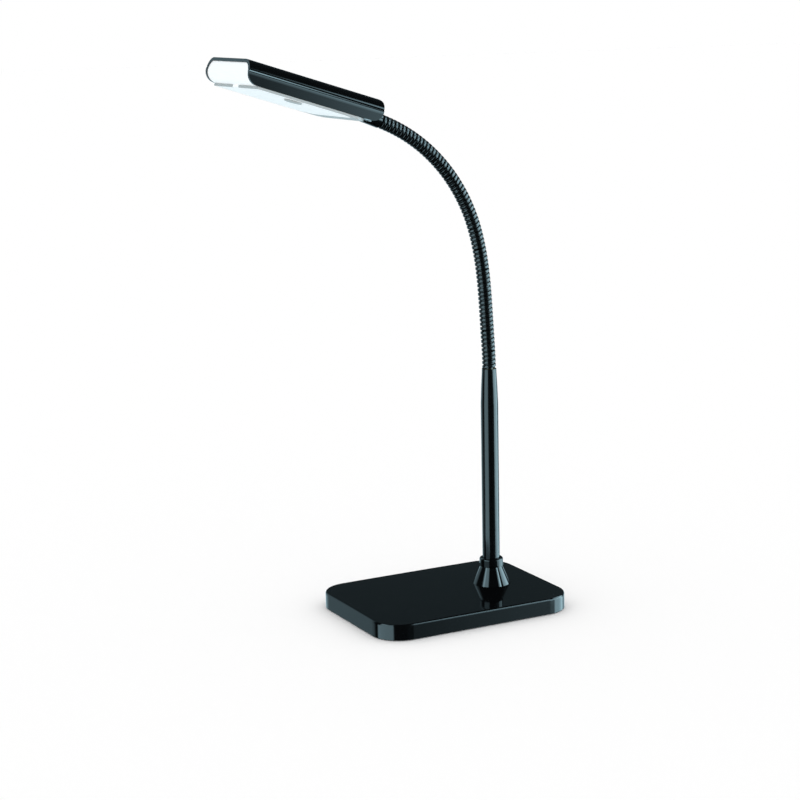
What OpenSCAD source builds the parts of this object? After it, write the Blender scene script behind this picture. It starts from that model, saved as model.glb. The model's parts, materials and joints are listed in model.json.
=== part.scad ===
// Gooseneck desk lamp with an arched LED head.
// Millimetres, +Z up. The origin is the middle of the base's underside, on the desk.
// +X runs along the base towards the post, and the head reaches out over -X.

/* [Base] */
// Length of the base
base_length = 165; // [150:1:200]
// Width of the base
base_width = 121.5; // [110:0.5:150]
// Height of the base at the middle of its crowned top
base_height = 13.4; // [13.4:0.1:18]
// Corner radius of the base, seen from above
base_corner_r = 23; // [16:1:30]
// Radius of the base's top edge
base_edge_r = 2; // [1:0.1:2.4]
// How far the crowned top falls from its middle to the corners
base_crown = 0.6; // [0.3:0.1:1]
// Wall of the base cover
base_wall = 2.4; // [2:0.1:3]
// Air between the cover's skirt and the desk
skirt_gap = 0.8; // [0.4:0.1:1.2]
// Thickness of the foam pad under the base
pad_thickness = 1.6; // [1.6:0.1:2.4]
// Thickness of the steel bottom plate
plate_thickness = 1.6; // [1.2:0.1:2]
// Distance of each base screw from the base's edges
base_screw_inset = 19; // [17:1:26]
// Size of the LED driver board, along X and Y
driver_board_size = [44, 20]; // [20:1:60]

/* [Cord gland] */
// Clear hole for the cord
gland_bore_d = 4.2; // [3:0.1:4.6]
// Hole in the base cover that the gland snaps into
gland_hole_d = 5.8; // [5.6:0.1:6]
// Diameter of the gland's flange on each face of the wall
gland_flange_d = 7; // [6.6:0.1:7.2]
// Thickness of each flange
gland_flange_t = 1.4; // [1:0.1:2]
// Position of the gland along the rear wall
gland_offset = 0; // [-20:1:20]

/* [Post] */
// Distance of the post from the middle of the base
post_offset = 42.5; // [35:0.5:50]
// Outside diameter of the post tube
post_d = 13.6; // [12.6:0.1:15]
// Bore of the post tube
post_bore_d = 9.9; // [9.7:0.1:10.1]
// Height of the post's top above the desk
post_top = 185.4; // [120:1:260]
// Outside diameter of the post's swaged top
post_top_d = 11.2; // [10.8:0.1:12]
// Length of the swaged top
post_taper = 28; // [20:1:40]

/* [Collar] */
// Foot of the flared collar
collar_foot_d = 29.4; // [26:0.2:34]
// Neck of the flared collar
collar_neck_d = 17; // [16.5:0.1:18.4]
// Height of the flared collar
collar_height = 15; // [10:0.2:20]
// Outside diameter of the ring above the collar
ring_d = 18.6; // [18.4:0.1:20]
// Height of the ring
ring_height = 6.6; // [5:0.2:9]
// Rounding of the ring's upper edge
ring_edge_r = 1.4; // [0.8:0.1:2]

/* [Gooseneck] */
// Round wire that is wound into the outer coil
coil_wire_d = 2.2; // [2:0.05:2.3]
// Outside diameter of the coil
neck_d = 10; // [9.8:0.1:10.6]
// Rise of one turn of the coil
coil_pitch = 3.2; // [3.2:0.05:3.6]
// Turns of wire in each segment
turns = 5; // [4:1:6]
// Flexible segments in the neck, from the post to the head
segments = 14; // [14:1:14]
// Outside diameter of the liner tube inside the coil
liner_d = 6.7; // [6.5:0.05:6.9]
// Wire way through the neck
wire_way_d = 3.8; // [3:0.1:4.2]
// Bend of the first segment, just above the post
first_bend = 3.4; // [0:0.1:6]
// Last segment of the straight stretch
straight_until = 4; // [2:1:6]
// Segments over which the bend grows to its full value
bend_ramp = 4; // [1:1:5]
// Bend of each segment along the crook
crook_bend = 7; // [3:0.1:7.5]
// Play between the ball end of a segment and the cup of the next
ball_play = 0.35; // [0.3:0.05:0.4]
// How deep the neck's plain ends sit in the post and the ferrule
spigot_depth = 15; // [10:1:18]

/* [Ferrule] */
// Length of the ferrule between the neck and the head
ferrule_length = 24.4; // [18:0.2:30]
// Diameter of the ferrule where the neck enters
ferrule_mouth_d = 11; // [10.8:0.1:12]
// Diameter of the ferrule at the head
ferrule_head_d = 12.6; // [12:0.1:13.4]
// Threaded tail that holds the ferrule in the head
ferrule_tail_d = 7; // [6.4:0.1:7.4]

/* [Head] */
// Length of the head
head_length = 108.4; // [100:0.2:130]
// Width of the head
head_width = 79; // [70:1:90]
// Radius of the head's long shoulders
shoulder_r = 10.6; // [8:0.2:11]
// Height of the head's side walls, from the flat top
side_height = 16.7; // [16.2:0.1:19]
// Radius of the side walls' lower corners
side_corner_r = 8.3; // [6:0.1:8.5]
// Radius of the rear edge of the top
rear_edge_r = 3; // [1.5:0.1:4]
// Wall of the head shell
head_wall = 2.4; // [2:0.1:2.6]
// Rise of the head towards its tip, in degrees
head_tilt = 17.5; // [5:0.1:24]
// Depth of the ferrule's axis under the head's top
neck_entry_depth = 10.1; // [9.6:0.1:10.2]
// Height of the fine groove along each side wall, under the top
groove_drop = 7; // [6.6:0.1:8.6]
// Size of the fine groove
groove_size = 0.45; // [0.3:0.05:0.7]

/* [Light] */
// Depth of the diffuser's face under the head's top
diffuser_drop = 18.6; // [18.4:0.1:20]
// Thickness of the diffuser
diffuser_t = 1; // [0.8:0.1:1]
// Length of the rear cap, behind the frame that holds the diffuser
rear_strip = 11; // [10.6:0.2:14]
// Corner radius of the frame's rear end
frame_corner_r = 9; // [5:0.5:12]
// Width of the frame along the diffuser's sides and front
frame_lip = 1; // [0.8:0.1:1.6]
// Width of the frame behind the diffuser
frame_rear = 9.4; // [4:0.2:12]
// Corner radius of the diffuser's rear end
diffuser_corner_r = 11; // [5:0.5:12]
// Thickness of the white front cap
front_cap_t = 1.8; // [1.4:0.1:2]
// How far the front cap sits back from the shell's edge
front_recess = 0.6; // [0.3:0.1:1]
// Size of the LED board, along and across the head
led_board_size = [76, 68]; // [60:1:80]
// LEDs along the head
led_columns = 10; // [4:1:10]
// Rows of LEDs across the head
led_rows = 3; // [1:1:3]
// Width of the white light box around the LEDs
light_box_width = 41; // [34:1:42]
// Side of one LED package
led_size = 3; // [2:0.1:3.4]

/* [Switch] */
// Diameter of the round push button
button_d = 12.8; // [10:0.2:13]
// How far the button stands out of the diffuser
button_proud = 1.2; // [1:0.1:2.4]
// Travel of the button
button_travel = 0.8; // [0.6:0.1:1]
// Distance of the button from the head's tip
button_along = 42.5; // [36:0.5:60]
// Distance of the button from the middle of the head
button_aside = 28; // [27:0.5:28]

/* [Hidden] */
$fn = 64;
// Clearances
slip = 0.05;        // round part in its hole, radial
fit_gap = 0.3;      // loose flat fit, each side
running_gap = 0.3;  // between pieces that move past each other
eps = 0.5;          // how far a cutter runs past the face it opens

// Base levels
plate_top = pad_thickness + plate_thickness;
cover_inside = base_height - base_crown - base_wall;
corner_cut = base_corner_r*(1 - sqrt(0.5));
crown_reach = norm([base_length/2 - corner_cut, base_width/2 - corner_cut]);
inner_inset = base_wall + fit_gap;
seat_z = base_height - base_crown - 0.2;  // flat seat of the collar in the crowned top
ballast_gap = 0.2;
ballast_inset = base_wall + 1.6;
washer_t = 1;
washer_d = 20;
nut_h = 2.8;
nut_af = 14;
nut_pocket_d = 22;
nut_pocket_top = cover_inside - 2.4;
stud_bottom = nut_pocket_top - washer_t - nut_h - 0.6;
stud_d = post_bore_d - 2*slip;
stud_bore_d = 6;
stud_reach = 18;
boss_d = 8;
screw_d = 3;
screw_head_d = 5.6;
screw_head_h = 1.3;
driver_y = base_width/2 - base_wall - 6 - driver_board_size[1]/2;
driver_post_h = 2;
driver_board_t = 1.2;
driver_board_z = cover_inside - driver_post_h - driver_board_t;
gland_z = (plate_top + cover_inside)/2;

// Collar and post
collar_top = seat_z + collar_height;
post_clear = 0.1;

// Neck
coil_r = neck_d/2 - coil_wire_d/2;
liner_r = liner_d/2;
ball_r = liner_r + 0.05;
coil_lead = atan(coil_pitch/(2*PI*coil_r));
segment_length = turns*coil_pitch;
wedge_reach = coil_r + 0.25;
wedge_half = 0.55;
bushing_d = post_bore_d - 2*slip;
bushing_length = spigot_depth + 3;
spigot_d = liner_d - 0.2;
spigot_hole_d = spigot_d + 2*slip;
spigot_bore_d = wire_way_d + 0.4;

// Head levels, all measured down from the flat top
head_half = head_width/2;
inner_half = head_half - head_wall;
rear_cap_start = head_length - rear_strip + 0.4;
frame_end = head_length - rear_strip;
cap_wall = 2;
board_top = head_wall + 2.6;
board_t = 1.2;
board_bottom = board_top + board_t;
board_holes = [8, 68];
board_hole_y = 26;
diffuser_top = diffuser_drop - diffuser_t;
frame_top = side_height + 0.2;
frame_half = head_half - 0.2;
frame_start = front_recess + side_corner_r + 0.3;
opening_half = frame_half - frame_lip;
opening_start = frame_start + frame_lip;
opening_end = frame_end - frame_rear;
panel_play = 0.1;
ledge = 3;       // how far the diffuser rests on the frame at its front and rear
cap_end = frame_start + 3;
rim_t = 1.4;
rim_h = 2.4;
rim_half = inner_half - 0.2;
rim_start = frame_start + 5;
board_start = rim_start + rim_t + fit_gap;
tab_width = 10;
tab_length = 2.6;
tray_wall = 1.2;
led_h = 0.7;
led_pitch = 7;
led_row_gap = 11;
switch_side = 12;
switch_h = 6;
stem_d = 4.6;
stem_depth = 3;
small_screw_d = 2.2;
small_head_d = 4.2;
small_head_h = 1.2;
small_boss_d = 5.2;
board_boss_d = 6;
board_screw_reach = 2.8;
cap_screw_y = 28;
cap_screw_s = head_length - 6.8;
cap_pad_d = 8;
cap_pad_h = 4;
cap_recess_d = 5.2;
cap_recess_h = 1.8;
cap_screw_reach = 4.8;
ferrule_tail = 13.4;
ferrule_washer_d = 9.4;
ferrule_washer_t = 0.8;
ferrule_nut_af = 9;
ferrule_nut_h = 3.4;
ferrule_boss_d = 11;
boss_depth = 8;  // length of the slanted boss inside the rear cap, along the ferrule

black_gloss = [0.07, 0.08, 0.09];
satin_grey = [0.68, 0.71, 0.72];
black_rubber = [0.10, 0.10, 0.10];
plain_steel = [0.62, 0.63, 0.65];
brass = [0.72, 0.58, 0.30];
opal_white = [0.95, 0.96, 0.97];
board_green = [0.10, 0.36, 0.22];

// ---------------------------------------------------------------- shared shapes

// Rounded rectangle in the XY plane, centred.
module rounded_rect(l, w, r) {
    square([l - 2*r, w], center = true);
    square([l, w - 2*r], center = true);
    for (x = [-1, 1], y = [-1, 1])
        translate([x*(l/2 - r), y*(w/2 - r)]) circle(r = r);
}

// Section of a slab's side: reach across, h high, its outer top edge rounded by r.
module edge_section(reach, h, r) {
    square([reach, h - r]);
    square([reach - r, h]);
    translate([reach - r, h - r]) circle(r = r);
}

// Slab with round corners and a round top edge, from z = 0 to h.
module soft_slab(l, w, h, corner, edge) {
    for (q = [0:3])
        translate([(q == 0 || q == 3 ? 1 : -1)*(l/2 - corner), (q < 2 ? 1 : -1)*(w/2 - corner), 0])
            rotate([0, 0, 90*q]) rotate_extrude(angle = 90) edge_section(corner, h, edge);
    for (side = [0, 1]) rotate([0, 0, 180*side]) {
        translate([l/2 - corner, w/2 - corner, 0])
            rotate([90, 0, 0]) linear_extrude(height = w - 2*corner) edge_section(corner, h, edge);
        translate([-(l/2 - corner), w/2 - corner, 0])
            rotate([90, 0, 90]) linear_extrude(height = l - 2*corner) edge_section(corner, h, edge);
    }
    translate([-(l/2 - corner), -(w/2 - corner), 0]) cube([l - 2*corner, w - 2*corner, h]);
}

// Pan-head screw, its head's face at z = 0 and its shank pointing up.
module pan_screw(d, length, head_d, head_h) {
    cylinder(d = head_d, h = head_h);
    translate([0, 0, head_h]) cylinder(d = d, h = length);
}

module hex_nut(af, h, bore) {
    difference() {
        cylinder(d = af/cos(30), h = h, $fn = 6);
        translate([0, 0, -eps]) cylinder(d = bore, h = h + 2*eps);
    }
}

module tube(d, bore, h) {
    difference() {
        cylinder(d = d, h = h);
        translate([0, 0, -eps]) cylinder(d = bore, h = h + 2*eps);
    }
}

// ---------------------------------------------------------------- base

module at_base_screws() {
    for (x = [-1, 1], y = [-1, 1])
        translate([x*(base_length/2 - base_screw_inset), y*(base_width/2 - base_screw_inset), 0])
            children();
}

module at_driver_posts() {
    for (x = [-1, 1])
        translate([gland_offset + x*(driver_board_size[0]/2 - 4), driver_y, 0]) children();
}

// Everything under the shallow dome that crowns the base, as flat rings whose height falls with the
// square of r.
module crown_dome() {
    rings = 6;
    span = norm([base_length, base_width])/2 + 2;
    rotate_extrude() polygon(concat([[0, 0], [span, 0]],
        [for (k = [rings:-1:0]) let (r = span*k/rings) [r,
            base_height - base_crown*pow(r/crown_reach, 2)]]));
}

module base_cover() color(black_gloss) {
    difference() {
        union() {
            difference() {
                intersection() {
                    translate([0, 0, skirt_gap])
                        soft_slab(base_length, base_width, base_height - skirt_gap, base_corner_r,
                            base_edge_r);
                    crown_dome();
                }
                translate([0, 0, -eps]) linear_extrude(height = cover_inside + eps)
                    rounded_rect(base_length - 2*base_wall, base_width - 2*base_wall,
                        base_corner_r - base_wall);
            }
            at_base_screws() translate([0, 0, plate_top])
                cylinder(d = boss_d, h = cover_inside - plate_top + 1);
            at_driver_posts() translate([0, 0, cover_inside - driver_post_h])
                cylinder(d = 6, h = driver_post_h + 1);
        }
        at_base_screws() translate([0, 0, plate_top - eps])
            cylinder(d = screw_d + 2*slip, h = cover_inside - plate_top);
        at_driver_posts() translate([0, 0, cover_inside - driver_post_h - eps])
            cylinder(d = 2 + 2*slip, h = driver_post_h + eps + 0.6);
        translate([post_offset, 0, seat_z]) cylinder(d = collar_foot_d + 2*fit_gap, h = base_crown + 2);
        translate([post_offset, 0, 0]) cylinder(d = stud_d + 2*slip, h = base_height + eps);
        translate([gland_offset, base_width/2 + eps, gland_z]) rotate([90, 0, 0])
            cylinder(d = gland_hole_d, h = base_wall + 2*eps);
    }
}

module base_plate() color(plain_steel) {
    difference() {
        translate([0, 0, pad_thickness]) linear_extrude(height = plate_thickness)
            rounded_rect(base_length - 2*inner_inset, base_width - 2*inner_inset,
                base_corner_r - inner_inset);
        at_base_screws() translate([0, 0, pad_thickness - eps])
            cylinder(d = screw_d + 0.4, h = plate_thickness + 2*eps);
    }
}

module base_pad() color(black_rubber) {
    difference() {
        linear_extrude(height = pad_thickness)
            rounded_rect(base_length - 2*inner_inset, base_width - 2*inner_inset,
                base_corner_r - inner_inset);
        at_base_screws() translate([0, 0, -eps])
            cylinder(d = screw_head_d + 2, h = pad_thickness + 2*eps);
    }
}

module base_screws() color(plain_steel) {
    at_base_screws() translate([0, 0, pad_thickness - screw_head_h])
        pan_screw(screw_d, plate_thickness + cover_inside - plate_top - 2, screw_head_d, screw_head_h);
}

module ballast_weight() color(plain_steel) {
    bottom = plate_top + ballast_gap;
    difference() {
        translate([0, 0, bottom]) linear_extrude(height = cover_inside - bottom)
            rounded_rect(base_length - 2*ballast_inset, base_width - 2*ballast_inset,
                base_corner_r - ballast_inset);
        at_base_screws() translate([0, 0, bottom - eps]) cylinder(d = boss_d + 1.6, h = cover_inside);
        translate([post_offset, 0, bottom - eps]) cylinder(d = stud_d + 0.6, h = cover_inside);
        translate([post_offset, 0, bottom - eps])
            cylinder(d = nut_pocket_d, h = nut_pocket_top - bottom + eps);
        // window for the driver board, open to the rear wall and the cord gland
        translate([gland_offset - driver_board_size[0]/2 - 3, driver_y - driver_board_size[1]/2 - 3,
            bottom - eps])
            cube([driver_board_size[0] + 6, driver_board_size[1] + 20, cover_inside]);
    }
}

module cord_gland() color(black_rubber) {
    translate([gland_offset, base_width/2 + gland_flange_t, gland_z]) rotate([90, 0, 0]) difference() {
        union() {
            cylinder(d = gland_flange_d, h = gland_flange_t);
            cylinder(d = gland_hole_d - 2*slip, h = base_wall + 2*gland_flange_t);
            translate([0, 0, gland_flange_t + base_wall])
                cylinder(d = gland_flange_d, h = gland_flange_t);
        }
        translate([0, 0, -eps]) cylinder(d = gland_bore_d, h = base_wall + 2*gland_flange_t + 2*eps);
    }
}

module driver_board() color(board_green) {
    difference() {
        translate([gland_offset - driver_board_size[0]/2, driver_y - driver_board_size[1]/2,
            driver_board_z])
            cube([driver_board_size[0], driver_board_size[1], driver_board_t]);
        at_driver_posts() translate([0, 0, driver_board_z - eps])
            cylinder(d = 2.4, h = driver_board_t + 2*eps);
    }
}

// Inductor, capacitor, driver chip and terminal block, hanging under the board.
module driver_components() color([0.15, 0.15, 0.16]) {
    translate([gland_offset, driver_y, driver_board_z]) mirror([0, 0, 1]) {
        translate([-9, 0, 0]) cylinder(d = 8, h = 3);
        translate([-1, 4, 0]) cylinder(d = 5, h = 3.2);
        translate([-3, -6, 0]) cube([6, 4, 1.6]);
        translate([6, -5, 0]) cube([7, 10, 3.2]);
    }
}

module driver_screws() color(plain_steel) {
    at_driver_posts() translate([0, 0, driver_board_z - 1.2])
        pan_screw(2, driver_board_t + driver_post_h, 4, 1.2);
}

// ---------------------------------------------------------------- post

module collar_cone() color(black_gloss) {
    translate([post_offset, 0, seat_z]) rotate_extrude() difference() {
        polygon([[0, 0], [collar_foot_d/2, 0], [collar_foot_d/2, 0.8], [collar_neck_d/2, collar_height],
                 [0, collar_height]]);
        translate([-eps, -eps]) square([post_d/2 + post_clear + eps, collar_height + 2*eps]);
    }
}

module collar_ring() color(black_gloss) {
    translate([post_offset, 0, collar_top]) rotate_extrude() difference() {
        edge_section(ring_d/2, ring_height, ring_edge_r);
        translate([-eps, -eps]) square([post_d/2 + post_clear + eps, ring_height + 2*eps]);
    }
}

module post_tube() color(black_gloss) {
    shoulder = post_top - post_taper;
    translate([post_offset, 0, 0]) rotate_extrude()
        polygon([[post_bore_d/2, seat_z], [post_d/2, seat_z], [post_d/2, shoulder],
                 [post_d/2 - (post_d - post_top_d)*0.2, shoulder + post_taper*0.5],
                 [post_top_d/2, post_top], [post_bore_d/2, post_top]]);
}

module mounting_stud() color(plain_steel) {
    translate([post_offset, 0, stud_bottom])
        tube(stud_d, stud_bore_d, seat_z + stud_reach - stud_bottom);
}

module stud_washer() color(plain_steel) {
    translate([post_offset, 0, nut_pocket_top - washer_t]) tube(washer_d, stud_d + 0.5, washer_t);
}

module stud_nut() color(plain_steel) {
    translate([post_offset, 0, nut_pocket_top - washer_t - nut_h])
        hex_nut(nut_af, nut_h, stud_d + 2*slip);
}

module post_bushing() color(brass) {
    translate([post_offset, 0, post_top - bushing_length]) difference() {
        cylinder(d = bushing_d, h = bushing_length);
        translate([0, 0, bushing_length - spigot_depth - 1])
            cylinder(d = spigot_hole_d, h = spigot_depth + 1 + eps);
        translate([0, 0, -eps]) cylinder(d = wire_way_d, h = bushing_length + 2*eps);
    }
}

// ---------------------------------------------------------------- gooseneck

// Bend of segment i in degrees: a slight one at the post, then straight, then the crook.
function bend(i) = i == 1 ? first_bend
                 : i < straight_until ? 0
                 : crook_bend*min(1, (i - straight_until + 1)/(bend_ramp + 1));

// Lean from the vertical at the end of segment i.
function lean(i) = i == 0 ? 0 : lean(i - 1) + bend(i);

// Straight distance between the ends of segment i.
function chord(i) = bend(i) == 0 ? segment_length : segment_length*sin(bend(i)/2)/(bend(i)/2*PI/180);

// End of segment i, in the XZ plane.
function neck_point(i) = i == 0 ? [post_offset, 0, post_top]
    : neck_point(i - 1) + chord(i)*[-sin(lean(i - 1) + bend(i)/2), 0, cos(lean(i - 1) + bend(i)/2)];

// Puts children at the end of segment i, +Z along the neck.
module at_neck(i) {
    translate(neck_point(i)) rotate([0, -lean(i), 0]) children();
}

// Puts children at length s of segment i, whose start is the local origin.
module along(i, s) {
    if (bend(i) == 0) translate([0, 0, s]) children();
    else {
        rho = segment_length/(bend(i)*PI/180);
        translate([-rho, 0, 0]) rotate([0, -s/segment_length*bend(i), 0]) translate([rho, 0, 0])
            children();
    }
}

// Round bar of diameter d along segment i, from before its start to after its end.
module bar_along(i, d, before, after) {
    if (bend(i) == 0) translate([0, 0, -before]) cylinder(d = d, h = segment_length + before + after);
    else {
        rho = segment_length/(bend(i)*PI/180);
        degrees = bend(i)/segment_length;
        translate([-rho, 0, 0]) rotate([90, 0, 0]) rotate([0, 0, -before*degrees])
            rotate_extrude(angle = bend(i) + (before + after)*degrees, $fn = 360)
                translate([rho, 0]) circle(d = d);
    }
}

// One turn of the round wire, tilted by the coil's lead.
module coil_turn() {
    rotate([0, coil_lead, 0]) rotate_extrude() translate([coil_r, 0]) circle(d = coil_wire_d, $fn = 32);
}

// One turn of the three-sided wire that lies in the groove between two round turns.
module wedge_turn() {
    rotate([0, coil_lead, 0]) rotate_extrude()
        polygon([[liner_r - 0.3, -wedge_half], [wedge_reach, 0], [liner_r - 0.3, wedge_half]]);
}

// A segment of the gooseneck: the liner with its coil, a ball on its upper end and a cup in its lower
// end.
// The first segment has a plain spigot in the post instead of the cup, and the last has one in the
// ferrule.
module neck_segment(i) color(black_gloss) {
    first = i == 1;
    last = i == segments;
    at_neck(i - 1) difference() {
        union() {
            bar_along(i, liner_d, 0, 0);
            for (k = [0:turns - 1]) along(i, (k + 0.5)*coil_pitch) coil_turn();
            for (k = [1:turns - 1]) along(i, k*coil_pitch) wedge_turn();
            if (first) translate([0, 0, -spigot_depth]) cylinder(d = spigot_d, h = spigot_depth + 1);
            along(i, segment_length) {
                if (last) translate([0, 0, -1]) cylinder(d = spigot_d, h = spigot_depth + 1);
                else sphere(r = ball_r);
            }
        }
        if (!first) sphere(r = ball_r + ball_play);
        bar_along(i, wire_way_d, first ? 0 : eps, last ? 0 : ball_r + eps);
        if (first) translate([0, 0, -spigot_depth - eps])
            cylinder(d = spigot_bore_d, h = spigot_depth + eps + 1);
        if (last) along(i, segment_length) translate([0, 0, -1])
            cylinder(d = spigot_bore_d, h = spigot_depth + eps + 1);
    }
}

// ---------------------------------------------------------------- ferrule

module neck_ferrule() color(black_gloss) {
    at_neck(segments) difference() {
        union() {
            translate([0, 0, slip])
                cylinder(d1 = ferrule_mouth_d, d2 = ferrule_head_d, h = ferrule_length - slip);
            translate([0, 0, slip])
                cylinder(d = ferrule_tail_d, h = ferrule_length + ferrule_tail - slip);
        }
        translate([0, 0, -eps]) cylinder(d = spigot_hole_d, h = spigot_depth + 1 + eps);
        translate([0, 0, -eps]) cylinder(d = wire_way_d, h = ferrule_length + ferrule_tail + 2*eps);
    }
}

module ferrule_washer() color(plain_steel) {
    at_neck(segments) translate([0, 0, ferrule_length + boss_depth])
        tube(ferrule_washer_d, ferrule_tail_d + fit_gap, ferrule_washer_t);
}

module ferrule_nut() color(plain_steel) {
    at_neck(segments) translate([0, 0, ferrule_length + boss_depth + ferrule_washer_t])
        hex_nut(ferrule_nut_af, ferrule_nut_h, ferrule_tail_d + 2*slip);
}

// ---------------------------------------------------------------- head

// Where the ferrule's axis meets the rear face of the head.
head_entry = neck_point(segments) + ferrule_length*[-sin(lean(segments)), 0, cos(lean(segments))];

// Half width of the arch at the depth of the side grooves, which may lie on the shoulder.
groove_half = head_half - shoulder_r + sqrt(pow(shoulder_r, 2) - pow(max(0, shoulder_r - groove_drop),
    2));

// Puts children in the head's own frame: x from the tip to the rear, z = 0 at the flat top.
module at_head() {
    translate(head_entry) rotate([0, head_tilt, 0]) translate([-head_length, 0, neck_entry_depth])
        children();
}

// Turns an outline of the head's end view (across, up) into a bar along the head from s0 to s1.
module head_bar(s0, s1) {
    translate([s0, 0, 0]) rotate([90, 0, 90]) linear_extrude(height = s1 - s0) children();
}

// Turns an outline of the head's side view (along, up) into a bar across the head, half wide on each
// side.
module head_cross(half) {
    translate([0, half, 0]) rotate([90, 0, 0]) linear_extrude(height = 2*half) children();
}

// End view of the arch: flat top, two round shoulders, straight sides down to drop.
module arch(half, r, top, drop) {
    translate([-half, -drop]) square([2*half, drop - top - r]);
    translate([-half + r, -top - r - 1]) square([2*(half - r), r + 1]);
    for (x = [-1, 1]) translate([x*(half - r), -top - r]) circle(r = r);
}

// Side view of the head: its lower corners and the top's rear edge are round.
module side_outline(s0, s1, drop, front_r, rear_r, top_r) {
    difference() {
        translate([s0, -drop]) square([s1 - s0, drop]);
        translate([s0, -drop]) round_off(front_r, 0);
        translate([s1, -drop]) round_off(rear_r, 90);
        translate([s1, 0]) round_off(top_r, 180);
    }
}

// What a corner loses when it is rounded: the corner is at the origin, its sides run along turn and
// turn + 90.
module round_off(r, turn) {
    rotate([0, 0, turn]) difference() {
        translate([-eps, -eps]) square([r + eps, r + eps]);
        translate([r, r]) circle(r = r);
    }
}

module at_board_holes() {
    for (s = board_holes, y = [-1, 1]) translate([board_start + s, y*board_hole_y, 0]) children();
}

module at_cap_screws() {
    for (y = [-1, 1]) translate([cap_screw_s, y*cap_screw_y, 0]) children();
}

module head_shell() color(black_gloss) {
    at_head() difference() {
        union() {
            difference() {
                intersection() {
                    head_bar(0, head_length) arch(head_half, shoulder_r, 0, side_height);
                    head_cross(head_half + 1)
                        side_outline(0, head_length, side_height, side_corner_r, side_corner_r,
                            rear_edge_r);
                }
                head_bar(-eps, head_length + eps)
                    arch(inner_half, shoulder_r - head_wall, head_wall, side_height + 1);
            }
            at_board_holes() translate([0, 0, -board_top]) cylinder(d = board_boss_d, h = board_top - 1);
            at_cap_screws() translate([0, 0, -side_height + cap_pad_h])
                cylinder(d = small_boss_d, h = side_height - cap_pad_h - 1);
        }
        at_board_holes() translate([0, 0, -board_top - eps])
            cylinder(d = small_screw_d + 2*slip, h = board_screw_reach + 0.6 + eps);
        at_cap_screws() translate([0, 0, -side_height + cap_pad_h - eps])
            cylinder(d = small_screw_d + 2*slip, h = cap_screw_reach + 1.2 + eps);
        for (y = [-1, 1]) translate([-eps, y*groove_half, -groove_drop]) rotate([45, 0, 0])
            translate([0, -groove_size, -groove_size])
                cube([head_length + 2*eps, 2*groove_size, 2*groove_size]);
    }
}

// White cap that closes the arch at the tip and turns under the head, with a latch tab that steps
// through the frame.
module front_cap() color(opal_white) {
    at_head() {
        intersection() {
            head_bar(-1, cap_end)
                arch(inner_half - 0.1, shoulder_r - head_wall, head_wall + 0.1, side_height + 1);
            head_cross(head_half) difference() {
                side_outline(front_recess, head_length, side_height, side_corner_r, 1, 1);
                translate([0, eps]) side_outline(front_recess + front_cap_t, head_length + eps,
                    side_height - front_cap_t + eps, side_corner_r - front_cap_t, 0.1, 0.1);
            }
        }
        translate([frame_start, -tab_width/2, -diffuser_drop])
            cube([tab_length, tab_width, diffuser_drop - side_height + front_cap_t/2]);
    }
}

// Black cap that closes the rear, with a slanted boss for the ferrule.
module rear_cap() color(black_gloss) {
    s1 = head_length - 0.2;
    difference() {
        union() {
            at_head() {
                intersection() {
                    head_bar(rear_cap_start, s1)
                        arch(inner_half - 0.1, shoulder_r - head_wall, head_wall + 0.1, side_height + 1);
                    head_cross(head_half) difference() {
                        side_outline(0, s1, side_height, 1, side_corner_r, rear_edge_r);
                        translate([-eps, eps])
                            side_outline(0, s1 - cap_wall + eps, side_height - cap_wall + eps,
                            0.1, side_corner_r - cap_wall, 0.1);
                    }
                }
                at_cap_screws() translate([0, 0, -side_height]) cylinder(d = cap_pad_d, h = cap_pad_h);
            }
            at_neck(segments) translate([0, 0, ferrule_length])
                cylinder(d = ferrule_boss_d, h = boss_depth);
        }
        at_neck(segments) {
            translate([0, 0, ferrule_length - 5])
                cylinder(d = ferrule_tail_d + 2*slip, h = boss_depth + 6);
            cylinder(d = ferrule_head_d + 2*fit_gap, h = ferrule_length);
        }
        at_head() at_cap_screws() {
            translate([0, 0, -side_height - eps])
                cylinder(d = small_screw_d + 0.4, h = cap_pad_h + 2*eps);
            translate([0, 0, -side_height - eps]) cylinder(d = cap_recess_d, h = cap_recess_h + eps);
        }
    }
}

module rear_cap_screws() color(plain_steel) {
    at_head() at_cap_screws() translate([0, 0, -side_height + cap_recess_h - small_head_h])
        pan_screw(small_screw_d, cap_pad_h - cap_recess_h + cap_screw_reach, small_head_d, small_head_h);
}

// Outline of the frame or of the diffuser, from s0 to s1, with its rear corners rounded by r.
module panel_outline(s0, s1, half, r) {
    difference() {
        translate([s0, -half]) square([s1 - s0, 2*half]);
        for (y = [-1, 1]) translate([s1, y*half]) round_off(r, y > 0 ? 180 : 90);
    }
}

// Room for the front cap's latch tab, in the frame and in the diffuser.
module tab_notch() {
    translate([frame_start - eps, -tab_width/2 - 0.2, -diffuser_drop - eps])
        cube([tab_length + 0.2 + eps, tab_width + 0.4, diffuser_drop - frame_top + 2*eps]);
}

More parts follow.
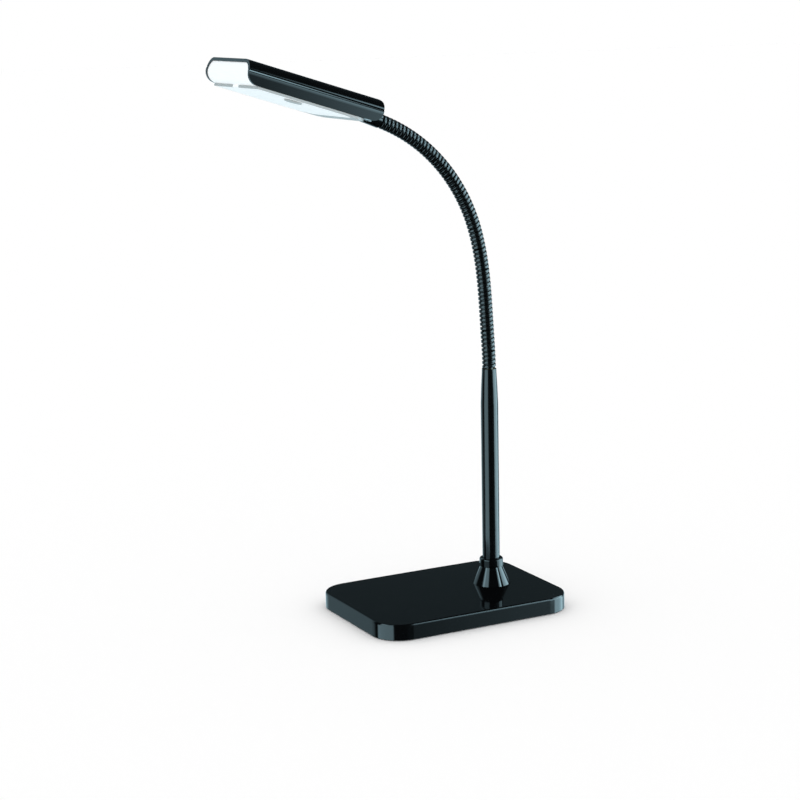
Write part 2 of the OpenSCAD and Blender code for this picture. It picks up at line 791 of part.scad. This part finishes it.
// Grey frame under the head: it stands out below the walls, carries the diffuser flush with its face
// and has a rim
// on three sides that locates it between the walls.
module panel_frame() color(satin_grey) {
    rim_end = frame_end - frame_corner_r;
    at_head() difference() {
        union() {
            translate([0, 0, -diffuser_drop]) linear_extrude(height = diffuser_drop - frame_top)
                difference() {
                panel_outline(frame_start, frame_end, frame_half, frame_corner_r);
                panel_outline(opening_start, opening_end, opening_half, diffuser_corner_r);
            }
            translate([0, 0, -diffuser_top]) linear_extrude(height = diffuser_top - frame_top)
                difference() {
                panel_outline(frame_start, frame_end, frame_half, frame_corner_r);
                panel_outline(rim_start + rim_t + ledge/2, opening_end - ledge, rim_half - rim_t,
                    diffuser_corner_r - ledge);
            }
            translate([0, 0, -frame_top]) linear_extrude(height = rim_h) difference() {
                translate([rim_start, -rim_half]) square([rim_end - rim_start, 2*rim_half]);
                translate([rim_start + rim_t, -rim_half + rim_t])
                    square([rim_end - rim_start, 2*(rim_half - rim_t)]);
            }
        }
        tab_notch();
    }
}

// Opal sheet that lies in the frame from below.
module diffuser_panel() color(opal_white) {
    at_head() difference() {
        translate([0, 0, -diffuser_drop]) linear_extrude(height = diffuser_t)
            panel_outline(opening_start + panel_play, opening_end - panel_play,
                opening_half - panel_play,
                          diffuser_corner_r - panel_play);
        tab_notch();
        translate([button_along, -button_aside, -diffuser_drop - eps])
            cylinder(d = button_d + 2*running_gap, h = diffuser_t + 2*eps);
    }
}

// White frame between the LED board and the diffuser that keeps the light in.
module light_box() color([0.9, 0.9, 0.9]) {
    l = led_board_size[0];
    w = light_box_width;
    at_head() translate([board_start, 0, -frame_top]) difference() {
        translate([0, -w/2, 0]) cube([l, w, frame_top - board_bottom]);
        translate([tray_wall, -w/2 + tray_wall, -eps])
            cube([l - 2*tray_wall, w - 2*tray_wall, frame_top - board_bottom + 2*eps]);
    }
}

module led_board() color([0.88, 0.89, 0.88]) {
    at_head() difference() {
        translate([board_start, -led_board_size[1]/2, -board_bottom])
            cube([led_board_size[0], led_board_size[1], board_t]);
        at_board_holes() translate([0, 0, -board_bottom - eps])
            cylinder(d = small_screw_d + 0.4, h = board_t + 2*eps);
    }
}

module led_packages() color([0.95, 0.90, 0.55]) {
    at_head() translate([board_start + led_board_size[0]/2, 0, -board_bottom - led_h])
        for (c = [0:led_columns - 1], r = [0:led_rows - 1])
            translate([(c - (led_columns - 1)/2)*led_pitch, (r - (led_rows - 1)/2)*led_row_gap, led_h/2])
                cube([led_size, led_size, led_h], center = true);
}

module led_board_screws() color(plain_steel) {
    at_head() at_board_holes() translate([0, 0, -board_bottom - small_head_h])
        pan_screw(small_screw_d, board_t + board_screw_reach, small_head_d, small_head_h);
}

// ---------------------------------------------------------------- switch

module switch_body() color([0.2, 0.2, 0.22]) {
    at_head() translate([button_along, -button_aside, -board_bottom - switch_h]) difference() {
        translate([-switch_side/2, -switch_side/2, 0]) cube([switch_side, switch_side, switch_h]);
        translate([0, 0, -eps])
            cylinder(d = stem_d + 2*running_gap, h = stem_depth + button_travel + 0.5 + eps);
    }
}

module switch_button() color(satin_grey) {
    cap_top = diffuser_top - 0.6;
    switch_bottom = board_bottom + switch_h;
    at_head() translate([button_along, -button_aside, 0]) {
        translate([0, 0, -cap_top]) mirror([0, 0, 1]) rotate_extrude()
            edge_section(button_d/2, diffuser_drop + button_proud - cap_top, 0.7);
        translate([0, 0, -cap_top - 0.1])
            cylinder(d = stem_d, h = cap_top + 0.1 - switch_bottom + stem_depth);
    }
}

base_cover();
base_pad();
base_plate();
ballast_weight();
base_screws();
cord_gland();
driver_board();
driver_components();
driver_screws();
collar_cone();
collar_ring();
post_tube();
mounting_stud();
stud_washer();
stud_nut();
post_bushing();
for (i = [1:segments]) neck_segment(i);
neck_ferrule();
ferrule_washer();
ferrule_nut();
head_shell();
front_cap();
rear_cap();
rear_cap_screws();
panel_frame();
diffuser_panel();
light_box();
led_board();
led_packages();
led_board_screws();
switch_body();
switch_button();
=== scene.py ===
# Gooseneck desk lamp: weighted base, post, flexible neck and an arched LED head.
# Metres, +Z up. The lamp stands on z = 0 and its head reaches out over -X.
import json
import math

import bpy
from mathutils import Matrix, Vector


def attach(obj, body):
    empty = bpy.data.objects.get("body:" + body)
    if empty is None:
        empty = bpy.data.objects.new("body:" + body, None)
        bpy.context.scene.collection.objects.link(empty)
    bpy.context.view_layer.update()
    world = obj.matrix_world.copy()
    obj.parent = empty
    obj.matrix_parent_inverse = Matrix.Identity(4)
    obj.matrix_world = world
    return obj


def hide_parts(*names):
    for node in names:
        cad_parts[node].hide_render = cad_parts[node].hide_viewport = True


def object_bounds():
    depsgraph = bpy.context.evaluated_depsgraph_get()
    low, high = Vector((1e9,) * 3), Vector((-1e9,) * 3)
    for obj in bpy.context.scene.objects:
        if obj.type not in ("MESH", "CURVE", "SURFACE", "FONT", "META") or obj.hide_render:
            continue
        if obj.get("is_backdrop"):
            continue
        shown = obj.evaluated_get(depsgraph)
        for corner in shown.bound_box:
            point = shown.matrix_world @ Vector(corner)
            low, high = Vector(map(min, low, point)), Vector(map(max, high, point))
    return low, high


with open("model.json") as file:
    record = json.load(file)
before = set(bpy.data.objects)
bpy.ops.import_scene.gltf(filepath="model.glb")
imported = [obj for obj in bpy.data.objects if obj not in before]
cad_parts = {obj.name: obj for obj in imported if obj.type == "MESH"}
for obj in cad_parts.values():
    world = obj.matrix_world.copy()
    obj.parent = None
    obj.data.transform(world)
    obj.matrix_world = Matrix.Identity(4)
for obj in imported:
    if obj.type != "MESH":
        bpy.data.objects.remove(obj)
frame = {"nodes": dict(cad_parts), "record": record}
cad_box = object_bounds()
MM, MM_PER_METRE = 0.001, 1000
WHITE = (1.0, 1.0, 1.0, 1.0)


# ---------------------------------------------------------------- helpers

def linear(hex_code):
    """An sRGB hex colour as linear numbers, opaque."""
    channels = [int(hex_code[i:i + 2], 16) / 255 for i in (1, 3, 5)]
    return tuple(c / 12.92 if c <= 0.04045 else ((c + 0.055) / 1.055) ** 2.4 for c in channels) + (1.0,)


def put(name, data):
    """A new object in the scene."""
    thing = bpy.data.objects.new(name, data)
    bpy.context.scene.collection.objects.link(thing)
    return thing


def add(tree, kind, links=None, **settings):
    """Adds a node. Links and plain values are given by socket name or number, settings by attribute name."""
    node = tree.nodes.new(kind)
    for name, value in settings.items():
        setattr(node, name, value)
    for socket, value in (links or {}).items():
        if isinstance(value, bpy.types.NodeSocket):
            tree.links.new(value, node.inputs[socket])
        else:
            node.inputs[socket].default_value = value
    return node


def calculator(tree):
    """Gives a function that adds math nodes to this tree."""
    def calc(operation, first, second=0.0, third=0.0):
        return add(tree, "ShaderNodeMath", {0: first, 1: second, 2: third}, operation=operation).outputs[0]
    return calc


def remap(tree, value, low, high, start, end, **settings):
    """A value that lies between low and high, moved to between start and end."""
    return add(tree, "ShaderNodeMapRange", {"Value": value, "From Min": low, "From Max": high,
                                            "To Min": start, "To Max": end}, **settings).outputs[0]


def blend(tree, share, first, second):
    """A mix of two colours, which a Mix node takes in its sockets 6 and 7 and gives in its output 2."""
    return add(tree, "ShaderNodeMix", {0: share, 6: first, 7: second}, data_type="RGBA").outputs[2]


def scaled(tree, vector, factor):
    """A vector times a number."""
    return add(tree, "ShaderNodeVectorMath", {0: vector, "Scale": factor}, operation="SCALE").outputs[0]


# ---------------------------------------------------------------- finishes

NOISE_LOW, NOISE_HIGH = 0.3, 0.7    # nearly all of a noise lies between these
MOTTLE_DETAIL = 3.0


def new_finish(name, **shader):
    """A material with one Principled shader, whose sockets take the given values."""
    finish = bpy.data.materials.new(name)
    finish.use_nodes = True
    for socket, value in shader.items():
        finish.node_tree.nodes["Principled BSDF"].inputs[socket.replace("_", " ")].default_value = value
    return finish


def noise(tree, size_mm, detail):
    """Noise fixed to the piece, with features of this size."""
    where = add(tree, "ShaderNodeTexCoord").outputs["Object"]
    return add(tree, "ShaderNodeTexNoise", {"Vector": where, "Scale": MM_PER_METRE / size_mm,
                                            "Detail": detail}).outputs[0]


def grain(finish, size_mm, height_mm, strength, detail):
    """Fine surface grain, as bump."""
    tree = finish.node_tree
    bump = add(tree, "ShaderNodeBump", {"Height": noise(tree, size_mm, detail), "Distance": height_mm * MM,
                                        "Strength": strength})
    tree.links.new(bump.outputs[0], tree.nodes["Principled BSDF"].inputs["Normal"])


def mottle(finish, socket, low, high, size_mm):
    """Slow variation of a shader's socket between two numbers or two colours."""
    tree = finish.node_tree
    share = noise(tree, size_mm, MOTTLE_DETAIL)
    if isinstance(low, tuple):
        varied = blend(tree, share, low, high)
    else:
        varied = remap(tree, share, NOISE_LOW, NOISE_HIGH, low, high)
    tree.links.new(varied, tree.nodes["Principled BSDF"].inputs[socket])


# Sizes and heights are in millimetres. Real spark-eroded, moulded and turned textures are about 0.1 mm wide. They
# are 0.25 to 0.5 mm wide here, because finer ones would not show.

# Piano-black ABS, moulded in a polished tool: mirror gloss with a very slight waviness.
piano_abs = new_finish("piano_black_abs", Base_Color=linear("#050607"), IOR=1.46)
grain(piano_abs, size_mm=9.0, height_mm=0.006, strength=0.6, detail=0.0)
mottle(piano_abs, "Roughness", 0.05, 0.09, size_mm=14)

# Gloss black enamel over steel tube and turned brass: a touch softer than the plastic, with a faint orange peel.
black_enamel = new_finish("gloss_black_enamel", Base_Color=linear("#050607"), IOR=1.5)
grain(black_enamel, size_mm=1.6, height_mm=0.004, strength=0.5, detail=1.0)
mottle(black_enamel, "Roughness", 0.11, 0.17, size_mm=8)

# Black lacquer over nickel on spring wire: a dark skin that mirrors the room in thin lines.
black_nickel = new_finish("black_nickel_wire", Base_Color=linear("#07090a"), IOR=1.55)
mottle(black_nickel, "Roughness", 0.16, 0.26, size_mm=3)
grain(black_nickel, size_mm=0.4, height_mm=0.003, strength=0.5, detail=1.0)

# Opal PMMA sheet: satin white. Its weak emission is a painted glow that keeps its shaded side bright.
opal = new_finish("opal_pmma", Base_Color=linear("#f4f8fa"), Roughness=0.32, IOR=1.49,
                  Emission_Color=linear("#ffffff"), Emission_Strength=0.12)
grain(opal, size_mm=0.5, height_mm=0.004, strength=0.4, detail=1.0)

# White ABS with a fine spark-eroded texture: soft, wide highlights.
white_abs = new_finish("white_abs", Base_Color=linear("#eff0ee"), Roughness=0.5, IOR=1.5)
grain(white_abs, size_mm=0.35, height_mm=0.01, strength=0.5, detail=2.0)

# ABS of the frame and the button, from a finer spark-eroded tool: satin. It is painted pale grey for the shade
# that lies on them under the head.
satin_abs = new_finish("satin_abs_painted_shade", Base_Color=linear("#adb5b6"), Roughness=0.38, IOR=1.5)
grain(satin_abs, size_mm=0.3, height_mm=0.008, strength=0.5, detail=2.0)

# EVA foam pad, closed cell: dull black with fine pores.
eva_foam = new_finish("eva_foam", Base_Color=linear("#161616"), Roughness=0.92)
grain(eva_foam, size_mm=0.7, height_mm=0.12, strength=0.8, detail=3.0)

# Moulded nitrile rubber of the cord gland: dull black, nearly smooth.
nitrile = new_finish("nitrile_rubber", Base_Color=linear("#141414"), Roughness=0.7)
grain(nitrile, size_mm=0.5, height_mm=0.02, strength=0.6, detail=2.0)

# Zinc-plated steel: bright, slightly blue, with faint spangle.
zinc_steel = new_finish("zinc_plated_steel", Metallic=1.0)
mottle(zinc_steel, "Base Color", linear("#b3b8bc"), linear("#9ca2a8"), size_mm=4)
mottle(zinc_steel, "Roughness", 0.28, 0.42, size_mm=5)

# Raw grey cast iron with a sand-cast skin: dark, rough and half metallic under its scale.
cast_iron = new_finish("cast_iron", Metallic=0.6, Roughness=0.75)
mottle(cast_iron, "Base Color", linear("#4a4b4d"), linear("#38393b"), size_mm=6)
grain(cast_iron, size_mm=1.2, height_mm=0.15, strength=0.8, detail=4.0)

# Turned brass with fine tool marks: yellow metal with blurred highlights.
turned_brass = new_finish("turned_brass", Base_Color=linear("#c79f4b"), Metallic=1.0, Roughness=0.3)
grain(turned_brass, size_mm=0.25, height_mm=0.01, strength=0.4, detail=1.0)

# FR4 board under green solder mask: satin, with the weave's faint mottle.
green_mask = new_finish("green_solder_mask", Roughness=0.35)
mottle(green_mask, "Base Color", linear("#14512c"), linear("#0f4425"), size_mm=3)

# Aluminium board under white solder mask: satin white.
white_mask = new_finish("white_solder_mask", Base_Color=linear("#e6e8e6"), Roughness=0.4)
grain(white_mask, size_mm=0.4, height_mm=0.004, strength=0.3, detail=1.0)

# Moulded black epoxy of chips and switch: matte charcoal.
black_epoxy = new_finish("black_epoxy", Base_Color=linear("#1c1c1e"), Roughness=0.55)
grain(black_epoxy, size_mm=0.3, height_mm=0.01, strength=0.5, detail=2.0)

# Phosphor over the LED chips: matte yellow.
phosphor = new_finish("led_phosphor", Base_Color=linear("#e9cf52"), Roughness=0.6)
grain(phosphor, size_mm=0.3, height_mm=0.01, strength=0.4, detail=1.0)

SLOT_FINISH = {
    "black_gloss": piano_abs, "black_enamel": black_enamel, "neck_black": black_nickel, "satin_grey": satin_abs,
    "opal": opal, "white_plastic": white_abs, "rubber": nitrile, "foam": eva_foam, "steel": zinc_steel,
    "brass": turned_brass, "iron": cast_iron, "board": green_mask, "board_white": white_mask,
    "component": black_epoxy, "phosphor": phosphor}

for entry in frame["record"]["subparts"]:
    node = frame["nodes"][entry["node"]]
    node.data.materials.clear()
    node.data.materials.append(SLOT_FINISH[entry["material_slot"]])


# ---------------------------------------------------------------- gooseneck

SEGMENTS, SEGMENT_LENGTH, COIL_TURNS = 14, 0.016, 4.75
CUP_DEPTH = 0.0038          # room at a segment's foot for the ball of the one before
BALL_RADIUS = 0.0042
HIDDEN_BALL = 0.001         # radius of a ball that stays inside the liner, where no hinge follows
LEAST_CURVE = 0.05          # of a straight segment, per metre, so that nothing is divided by zero
WIRE_POINTS, FILLER_POINTS = 304, 180   # 64 and 48 to a turn
LINER_POINTS = 24
ROUND_SIDES, BALL_RINGS, CORNER_POINTS = 40, 20, 4


def node_group(name, sockets):
    """A Geometry Nodes group with named inputs, given as (name, socket type, value)."""
    group = bpy.data.node_groups.new(name, "GeometryNodeTree")
    group.interface.new_socket("Geometry", in_out="INPUT", socket_type="NodeSocketGeometry")
    for label, kind, value in sockets:
        group.interface.new_socket(label, in_out="INPUT", socket_type=kind).default_value = value
    group.interface.new_socket("Geometry", in_out="OUTPUT", socket_type="NodeSocketGeometry")
    return group, group.nodes.new("NodeGroupInput").outputs


def close_group(group, geometry, finish):
    """Ends a group: instances made real, material set."""
    real = add(group, "GeometryNodeRealizeInstances", {"Geometry": geometry}).outputs[0]
    painted = add(group, "GeometryNodeSetMaterial", {"Geometry": real, "Material": finish}).outputs[0]
    add(group, "NodeGroupOutput", {"Geometry": painted})


def grow(name, group, values, place):
    """A mesh object made by a group with these values, its place then written into its mesh."""
    seed = put(name + "_seed", bpy.data.meshes.new(name + "_seed"))
    maker = seed.modifiers.new("maker", "NODES")
    maker.node_group = group
    ids = {item.name: item.identifier for item in group.interface.items_tree if item.in_out == "INPUT"}
    for label, value in values.items():
        maker[ids[label]] = value
    graph = bpy.context.evaluated_depsgraph_get()
    mesh = bpy.data.meshes.new_from_object(seed.evaluated_get(graph), depsgraph=graph)
    bpy.data.objects.remove(seed)
    mesh.name = name
    mesh.transform(place)
    return put(name, mesh)


def coil_group():
    """One segment of the neck: a flat-faced wire wound round a liner, a filler wire between its turns, and a
    ball end."""
    group, given = node_group("gooseneck_coil", [
        ("Length", "NodeSocketFloat", SEGMENT_LENGTH), ("Bend", "NodeSocketFloat", 0.0),
        ("Start", "NodeSocketFloat", 0.0), ("Turns", "NodeSocketFloat", COIL_TURNS),
        ("Outer Radius", "NodeSocketFloat", 0.0053), ("Rib Width", "NodeSocketFloat", 0.0024),
        ("Rib Depth", "NodeSocketFloat", 0.0012), ("Rib Rounding", "NodeSocketFloat", 0.0006),
        ("Filler Radius", "NodeSocketFloat", 0.0044), ("Liner Radius", "NodeSocketFloat", 0.0034),
        ("Liner Start", "NodeSocketFloat", CUP_DEPTH), ("Ball Radius", "NodeSocketFloat", BALL_RADIUS)])
    calc = calculator(group)
    curl = calc("MAXIMUM", calc("DIVIDE", given["Bend"], given["Length"]), LEAST_CURVE)

    def on_axis(along):
        """Point of the neck's axis at a length along it, and the cosine and sine of its lean there."""
        lean = calc("MULTIPLY", along, curl)
        side, rise = calc("COSINE", lean), calc("SINE", lean)
        axis = add(group, "ShaderNodeCombineXYZ", {0: calc("DIVIDE", calc("SUBTRACT", side, 1.0), curl),
                                                   2: calc("DIVIDE", rise, curl)}).outputs[0]
        return axis, side, rise

    def on_helix(along, turn, radius):
        """Point of a helix round the axis, and the direction that leads out to it."""
        axis, side, rise = on_axis(along)
        out = add(group, "ShaderNodeCombineXYZ", {0: calc("MULTIPLY", calc("COSINE", turn), side),
                                                  1: calc("SINE", turn),
                                                  2: calc("MULTIPLY", calc("COSINE", turn), rise)}).outputs[0]
        return add(group, "ShaderNodeVectorMath", {0: axis, 1: scaled(group, out, radius)}).outputs[0], out

    def path(points):
        """A straight spline of this many points, and how far along it each one is, from 0 to 1."""
        line = add(group, "GeometryNodeCurvePrimitiveLine").outputs[0]
        fine = add(group, "GeometryNodeResampleCurve", {"Curve": line, "Count": points}).outputs[0]
        return fine, add(group, "GeometryNodeSplineParameter").outputs["Factor"]

    def rectangle(width, height):
        return add(group, "GeometryNodeCurvePrimitiveQuadrilateral", {"Width": width,
                                                                      "Height": height}).outputs[0]

    def sweep(curve, point, profile, out=None):
        """A profile along a curve whose points move to these, its own X kept along "out" where that is given."""
        moved = add(group, "GeometryNodeSetPosition", {"Geometry": curve, "Position": point}).outputs[0]
        if out is not None:
            moved = add(group, "GeometryNodeSetCurveNormal", {"Curve": moved, "Normal": out},
                        mode="FREE").outputs[0]
        return add(group, "GeometryNodeCurveToMesh", {"Curve": moved, "Profile Curve": profile,
                                                      "Fill Caps": True}).outputs[0]

    def helix(start, end, turns, radius, points, profile):
        curve, share = path(points)
        along = calc("MULTIPLY_ADD", share, calc("SUBTRACT", end, start), start)
        turn = calc("MULTIPLY", calc("MULTIPLY_ADD", share, turns, given["Start"]), 2 * math.pi)
        point, out = on_helix(along, turn, radius)
        return sweep(curve, point, profile, out)

    rib = add(group, "GeometryNodeFilletCurve", {
        "Curve": rectangle(given["Rib Depth"], given["Rib Width"]), "Count": CORNER_POINTS,
        "Radius": given["Rib Rounding"], "Limit Radius": True}, mode="POLY").outputs[0]
    rib_radius = calc("MULTIPLY_ADD", given["Rib Depth"], -0.5, given["Outer Radius"])
    wire = helix(0.0, given["Length"], given["Turns"], rib_radius, WIRE_POINTS, rib)

    pitch = calc("DIVIDE", given["Length"], given["Turns"])
    half = calc("MULTIPLY", pitch, 0.5)
    depth = calc("SUBTRACT", given["Filler Radius"], given["Liner Radius"])
    strip = rectangle(depth, calc("SUBTRACT", pitch, given["Rib Width"]))
    strip_radius = calc("MULTIPLY_ADD", depth, 0.5, given["Liner Radius"])
    filler = helix(half, calc("SUBTRACT", given["Length"], half), calc("SUBTRACT", given["Turns"], 1.0),
                   strip_radius, FILLER_POINTS, strip)

    curve, share = path(LINER_POINTS)
    run = calc("SUBTRACT", given["Length"], given["Liner Start"])
    point = on_axis(calc("MULTIPLY_ADD", share, run, given["Liner Start"]))[0]
    round_bar = add(group, "GeometryNodeCurvePrimitiveCircle", {"Resolution": ROUND_SIDES,
                                                                "Radius": given["Liner Radius"]}).outputs[0]
    liner = sweep(curve, point, round_bar)

    end = on_axis(given["Length"])[0]
    ball = add(group, "GeometryNodeMeshUVSphere", {"Segments": ROUND_SIDES, "Rings": BALL_RINGS,
                                                   "Radius": given["Ball Radius"]}).outputs[0]
    ball = add(group, "GeometryNodeTransform", {"Geometry": ball, "Translation": end}).outputs[0]

    join = add(group, "GeometryNodeJoinGeometry")
    for piece in (wire, filler, liner, ball):
        group.links.new(piece, join.inputs[0])
    smooth = add(group, "GeometryNodeSetShadeSmooth", {"Geometry": join.outputs[0]}).outputs[0]
    close_group(group, smooth, black_nickel)
    return group


def stand(spot, lean):
    """Place of a piece that starts at a spot of the neck, where the neck leans this many degrees to -X."""
    return Matrix.Translation(spot) @ Matrix.Rotation(math.radians(-lean), 4, "Y")


def lathe(name, section, sides):
    """A closed section of (radius, height) corners in millimetres, turned about Z."""
    turns = [2 * math.pi * k / sides for k in range(sides)]
    rings = [[(radius * math.cos(turn) * MM, radius * math.sin(turn) * MM, height * MM) for turn in turns]
             for radius, height in section]
    faces = []
    for j in range(len(rings)):
        here, following = j * sides, (j + 1) % len(rings) * sides
        for k in range(sides):
            after = (k + 1) % sides
            faces.append((here + k, here + after, following + after, following + k))
    mesh = bpy.data.meshes.new(name)
    mesh.from_pydata([point for ring in rings for point in ring], [], faces)
    return mesh


# The neck as the solids have it, in metres and degrees: the first segment bends a little, two are straight, and
# then the bend grows over five segments to that of the crook.
FOOT_BEND, CROOK_BEND, STRAIGHT_TO, GROWTH = 3.4, 7.0, 3, 5
neck_bends = [FOOT_BEND, 0.0, 0.0] + [CROOK_BEND * min(1.0, (i - STRAIGHT_TO) / GROWTH)
                                      for i in range(STRAIGHT_TO + 1, SEGMENTS + 1)]
spot, lean = Vector((0.0425, 0.0, 0.1854)), 0.0     # where the neck leaves the post
coil = coil_group()
for i, bend in enumerate(neck_bends, 1):
    # The wire is cut where each hinge's own axis crosses it, so that the cut hardly opens when the neck bends.
    segment = grow("coil_%d" % i, coil, {
        "Length": SEGMENT_LENGTH, "Bend": math.radians(bend), "Start": (i - 1) * COIL_TURNS % 1.0,
        "Turns": COIL_TURNS, "Liner Start": 0.0 if i == 1 else CUP_DEPTH,
        "Ball Radius": BALL_RADIUS if i < SEGMENTS else HIDDEN_BALL}, stand(spot, lean))
    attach(segment, "base" if i == 1 else "head" if i == SEGMENTS else "neck_%d" % i)
    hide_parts("neck_segment_%d" % i)
    half_bend, middle = math.radians(bend / 2), math.radians(lean + bend / 2)
    chord = SEGMENT_LENGTH * (math.sin(half_bend) / half_bend if bend else 1.0)
    spot += chord * Vector((-math.sin(middle), 0.0, math.cos(middle)))
    lean += bend

# The wire's last two turns lie on the ferrule, which is turned down under them.
END_TURNS = 2.0
covered = END_TURNS * SEGMENT_LENGTH / COIL_TURNS
wound_end = grow("ferrule_coil", coil, {
    "Length": covered, "Bend": 0.0, "Start": SEGMENTS * COIL_TURNS % 1.0, "Turns": END_TURNS,
    "Liner Start": 0.0, "Ball Radius": HIDDEN_BALL}, stand(spot, lean))
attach(wound_end, "head")

covered_mm = covered / MM
FERRULE_SECTION = [
    (2.0, 0.1), (4.0, 0.1),                                             # foot, under the wire
    (4.0, covered_mm), (5.4, covered_mm), (5.65, covered_mm + 0.25),    # shoulder above the wire, its edge broken
    (6.25, 24.1), (6.0, 24.4),                                          # taper out to the head
    (3.5, 24.4), (3.5, 37.5), (3.2, 37.8), (2.0, 37.8)]                 # spigot through the rear cap
FERRULE_SIDES, SHARP_EDGE = 64, 35
ferrule_mesh = lathe("turned_ferrule", FERRULE_SECTION, FERRULE_SIDES)
ferrule_mesh.shade_smooth()
ferrule_mesh.set_sharp_from_angle(angle=math.radians(SHARP_EDGE))
ferrule_mesh.transform(stand(spot, lean))
ferrule_mesh.materials.append(black_enamel)
ferrule = put("turned_ferrule", ferrule_mesh)
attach(ferrule, "head")
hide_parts("neck_ferrule")


# ---------------------------------------------------------------- studio

# The floor: white paper, left out of mirrored rays, which see the panels below instead.
FLOOR_REACH = 12.0
floor_mesh = bpy.data.meshes.new("floor")
floor_mesh.from_pydata([(x * FLOOR_REACH, y * FLOOR_REACH, 0) for x, y in ((-1, -1), (1, -1), (1, 1), (-1, 1))],
                       [], [(0, 1, 2, 3)])
floor_mesh.materials.append(new_finish("white_paper", Base_Color=linear("#ffffff"), Roughness=1.0,
                                       Specular_IOR_Level=0.0))
floor = put("floor", floor_mesh)
floor.visible_glossy = False
floor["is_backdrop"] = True

world = bpy.data.worlds.new("studio")
bpy.context.scene.world = world
world.use_nodes = True
sky = world.node_tree
sky.nodes.clear()
calc = calculator(sky)
LEAST_LEVEL = 0.0001        # keeps straight up and down from a division by zero
direction = add(sky, "ShaderNodeSeparateXYZ", {0: add(sky, "ShaderNodeTexCoord").outputs["Generated"]})
height = direction.outputs[2]
level = calc("SQRT", calc("MAXIMUM", calc("SUBTRACT", 1.0, calc("MULTIPLY", height, height)), LEAST_LEVEL))
east = calc("DIVIDE", direction.outputs[0], level)
north = calc("DIVIDE", direction.outputs[1], level)


def step(value, low, high, start=0.0, end=1.0):
    """Smooth change from start to end as a value goes from low to high."""
    return remap(sky, value, low, high, start, end, interpolation_type="SMOOTHSTEP")


def panel(azimuth, half_width, edge, low, high, soft, dim, bright):
    """A lit panel round the set, in degrees: its middle and half width by azimuth and the softness of its sides,
    then its foot and top by elevation and their softness. Last come its brightness at the foot and at the top."""
    c, s = math.cos(math.radians(azimuth)), math.sin(math.radians(azimuth))
    facing = calc("ADD", calc("MULTIPLY", east, c), calc("MULTIPLY", north, s))
    across = step(facing, math.cos(math.radians(half_width + edge)), math.cos(math.radians(half_width - edge)))
    foot, top = math.sin(math.radians(low)), math.sin(math.radians(high))
    blur = math.sin(math.radians(soft))
    above, below = step(height, foot - blur, foot + blur), step(height, top - blur, top + blur, 1.0, 0.0)
    glow = remap(sky, height, foot, top, dim, bright)
    return calc("MULTIPLY", calc("MULTIPLY", across, glow), calc("MULTIPLY", above, below))


# What the gloss black mirrors. The camera looks towards azimuth 63, so azimuth 153 is its left and 333 its right.
# The softboxes have a gap from 20 to 25 degrees, so that the base's level top stays black seen from that height.
PANELS = [
    # softbox in front on the left
    (194, 25, 5, -16, 20, 1, 3.0, 3.6),
    (187, 33, 4, -35, -16, 1, 3.2, 3.2),
    (194, 25, 5, 25, 38, 1, 4.0, 4.0),
    (180, 8, 10, 25, 38, 1, 4.0, 4.0),
    # brighter softbox on the right
    (332, 30, 3, -16, -8, 1, 6.5, 6.5),
    (333, 33, 8, -8, 14, 1, 6.5, 7.0),
    (350, 27, 3, -35, -16, 1, 4.2, 4.2),
    (344, 22, 5, 14, 20, 1, 6.0, 6.0),
    (344, 22, 5, 25, 38, 1, 6.0, 6.0),
    # short strip in front on the right, with a brighter core
    (298, 8, 2.5, 20, 27, 2, 4.5, 4.5),
    (303, 3.5, 3, 20, 27, 2, 9.0, 9.0),
    # dim flats under that strip and under the right softbox
    (295, 12, 5, -8, 8, 1, 0.25, 0.25),
    (320, 16, 10, -35, -16, 1, 1.2, 1.2),
    (300, 25, 8, -35, -10, 3, 0.05, 0.05),
    # dim flats behind the lamp on the left
    (117, 18, 8, -35, 5, 5, 0.36, 0.8),
    (109, 20, 8, 5, 45, 3, 0.75, 0.75),
    # behind the lamp: the lit floor, a high flat and a faint one
    (62, 40, 12, -50, -2, 3, 0.9, 0.9),
    (85, 22, 8, 25, 42, 2, 0.7, 0.7),
    (62, 40, 10, 2, 35, 3, 0.035, 0.035)]
ROOM = 0.035                # brightness of what lies between the panels
COOL = (0.58, 0.88, 1.0)    # tint of the panels in the black
mirrored = ROOM
for panel_facts in PANELS:
    mirrored = calc("ADD", mirrored, panel(*panel_facts))
cool = scaled(sky, COOL, mirrored)

# The camera and whatever is diffuse see plain white, and mirrored rays see the panels.
rays = add(sky, "ShaderNodeLightPath")
seen = calc("MAXIMUM", rays.outputs["Is Camera Ray"], rays.outputs["Is Transmission Ray"])
lit = blend(sky, rays.outputs["Is Glossy Ray"], WHITE, cool)
background = add(sky, "ShaderNodeBackground", {"Color": blend(sky, seen, lit, WHITE), "Strength": 1.0})
add(sky, "ShaderNodeOutputWorld", {0: background.outputs[0]})

# Camera: 90 mm lens, 1.58 m from the base, a little above the lamp and turned 28.5 degrees round from the front.
lens = bpy.data.cameras.new("camera")
lens.lens = 90
lens.sensor_width = 36
lens.clip_end = 100
camera = put("camera", lens)
forward, up = Vector((0.44987, 0.87049, -0.19965)).normalized(), Vector((0.1098, 0.1682, 0.97962))
right = forward.cross(up).normalized()
up = right.cross(forward)
turned = Matrix((right, up, -forward)).transposed().to_4x4()
camera.matrix_world = Matrix.Translation((-0.7180, -1.3203, 0.4720)) @ turned
bpy.context.scene.camera = camera
bpy.context.scene.view_settings.view_transform = "Standard"

flat = lambda box: [[float(c) for c in corner] for corner in box]
{"cad": flat(cad_box), "visual": flat(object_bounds())}
